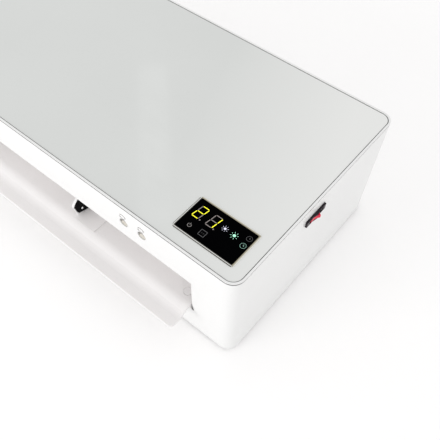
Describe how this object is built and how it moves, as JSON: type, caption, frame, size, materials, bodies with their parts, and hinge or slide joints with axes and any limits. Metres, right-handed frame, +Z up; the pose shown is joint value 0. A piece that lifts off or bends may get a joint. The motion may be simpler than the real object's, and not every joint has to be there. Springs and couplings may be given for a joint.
{
  "type": "pouch laminator",
  "caption": "Wide pouch laminator with a fold-up infeed tray, coupled pouch guides, heated and pull rollers, touch display, push buttons and a power rocker.",
  "frame": {"origin": "on the floor plane, at the body's middle in X and midway between the infeed tray's lip and the back wall in Y", "axes": "+X to the user's right, -Y towards the user and the infeed, +Z up"},
  "size_m": [0.5953, 0.285, 0.138],
  "materials": {
    "white_plastic": "fine satin texture",
    "tray_plastic": "fine satin texture",
    "top_panel": "high gloss grey-green",
    "black_plastic": "satin",
    "window_black": "high gloss",
    "bezel_metal": "brushed, fine",
    "button_plastic": "satin silver-beige",
    "switch_black": "satin",
    "rocker_red": "translucent red gloss",
    "sheet_steel": "zinc plated",
    "turned_steel": "turned, bright",
    "silicone": "matt silicone",
    "aluminium": "extruded, satin",
    "gear_plastic": "acetal, satin",
    "circuit_board": "solder mask",
    "board_parts": "mixed moulded parts",
    "rubber": "matt"
  },
  "bodies": {
    "machine": {"base_pan": "sheet_steel", "base_screws": "turned_steel", "bearing_blocks": "gear_plastic", "board_parts": "board_parts", "button_board": "circuit_board", "casing": "white_plastic", "display_bezel": "bezel_metal", "display_board": "circuit_board", "display_window": "window_black", "exit_guide_lower": "sheet_steel", "exit_guide_upper": "sheet_steel", "gear_motor": "sheet_steel", "heat_sensors": "turned_steel", "heating_shoe_lower": "aluminium", "heating_shoe_upper": "aluminium", "idler_pin": "turned_steel", "infeed_guide_lower": "sheet_steel", "infeed_guide_upper": "sheet_steel", "inlet_pins": "turned_steel", "main_board": "circuit_board", "motor_bracket": "sheet_steel", "mouth_liner": "tray_plastic", "power_inlet": "black_plastic", "pressure_springs": "turned_steel", "roller_bushes": "gear_plastic", "rubber_feet": "rubber", "side_plate_left": "sheet_steel", "side_plate_right": "sheet_steel", "switch_housing": "switch_black", "tie_bars": "turned_steel", "top_frame": "white_plastic", "top_glass": "top_panel", "tray_bracket_left": "black_plastic", "tray_bracket_right": "black_plastic"},
    "tray": {"tray": "tray_plastic", "tray_caps": "tray_plastic", "rack_cover": "black_plastic"},
    "guide_right": {"guide_right": "white_plastic", "guide_right_plate": "black_plastic"},
    "guide_left": {"guide_left": "white_plastic", "guide_left_plate": "black_plastic"},
    "guide_pinion": {"guide_pinion": "gear_plastic"},
    "button_left": {"button_left": "button_plastic"},
    "button_right": {"button_right": "button_plastic"},
    "power_rocker": {"switch_rocker": "rocker_red"},
    "hot_roller_lower": {"hot_roller_lower_core": "aluminium", "hot_roller_lower_sleeve": "silicone", "gear_hot_lower": "gear_plastic"},
    "hot_roller_upper": {"hot_roller_upper_core": "aluminium", "hot_roller_upper_sleeve": "silicone", "gear_hot_upper": "gear_plastic"},
    "pull_roller_lower": {"pull_roller_lower_core": "aluminium", "pull_roller_lower_sleeve": "silicone", "gear_pull_lower": "gear_plastic"},
    "pull_roller_upper": {"pull_roller_upper_core": "aluminium", "pull_roller_upper_sleeve": "silicone", "gear_pull_upper": "gear_plastic"},
    "idler_gear": {"gear_idler": "gear_plastic"},
    "motor_pinion": {"motor_pinion": "gear_plastic"}
  },
  "joints": [
    {"name": "tray_fold", "type": "hinge", "parent": "machine", "child": "tray", "pos_m": [0, -0.102, 0.048], "axis": [-1, 0, 0], "range_deg": [0, 85]},
    {"name": "guide_slide", "type": "slide", "parent": "tray", "child": "guide_right", "axis": [1, 0, 0], "range_m": [-0.0525, 0.0775]},
    {"name": "guide_slide_left", "type": "slide", "parent": "tray", "child": "guide_left", "axis": [1, 0, 0], "range_m": [-0.0775, 0.0525]},
    {"name": "guide_pinion_turn", "type": "hinge", "parent": "tray", "child": "guide_pinion", "pos_m": [0, -0.0839, 0.046], "axis": [0, 0, 1], "range_deg": [-635.3, 430.7]},
    {"name": "button_left_press", "type": "slide", "parent": "machine", "child": "button_left", "axis": [0, 1, 0], "range_m": [0, 0.0008], "stiffness_N_per_m": 600},
    {"name": "button_right_press", "type": "slide", "parent": "machine", "child": "button_right", "axis": [0, 1, 0], "range_m": [0, 0.0008], "stiffness_N_per_m": 600},
    {"name": "rocker_tilt", "type": "hinge", "parent": "machine", "child": "power_rocker", "pos_m": [0.291, 0.0061, 0.1184], "axis": [0, 0, -1], "range_deg": [0, 22]},
    {"name": "hot_lower_spin", "type": "hinge", "parent": "machine", "child": "hot_roller_lower", "pos_m": [0, -0.0125, 0.03785], "axis": [1, 0, 0], "continuous": true},
    {"name": "hot_upper_spin", "type": "hinge", "parent": "machine", "child": "hot_roller_upper", "pos_m": [0, -0.0125, 0.06615], "axis": [1, 0, 0], "continuous": true},
    {"name": "pull_lower_spin", "type": "hinge", "parent": "machine", "child": "pull_roller_lower", "pos_m": [0, 0.0475, 0.03985], "axis": [1, 0, 0], "continuous": true},
    {"name": "pull_upper_spin", "type": "hinge", "parent": "machine", "child": "pull_roller_upper", "pos_m": [0, 0.0475, 0.06415], "axis": [1, 0, 0], "continuous": true},
    {"name": "idler_spin", "type": "hinge", "parent": "machine", "child": "idler_gear", "pos_m": [0, 0.0185, 0.03644], "axis": [1, 0, 0], "continuous": true},
    {"name": "motor_spin", "type": "hinge", "parent": "machine", "child": "motor_pinion", "pos_m": [0, 0.0185, 0.06194], "axis": [1, 0, 0], "continuous": true}
  ],
  "couplings": [
    {"joint": "guide_slide_left", "follows": "guide_slide", "ratio": -1},
    {"joint": "guide_pinion_turn", "follows": "guide_slide", "rad_per_m": -142.86},
    {"joint": "hot_upper_spin", "follows": "hot_lower_spin", "ratio": -1},
    {"joint": "idler_spin", "follows": "hot_lower_spin", "ratio": -0.82353},
    {"joint": "pull_lower_spin", "follows": "hot_lower_spin", "ratio": 1.1667},
    {"joint": "pull_upper_spin", "follows": "hot_lower_spin", "ratio": -1.1667},
    {"joint": "motor_spin", "follows": "hot_lower_spin", "ratio": 1.75}
  ]
}
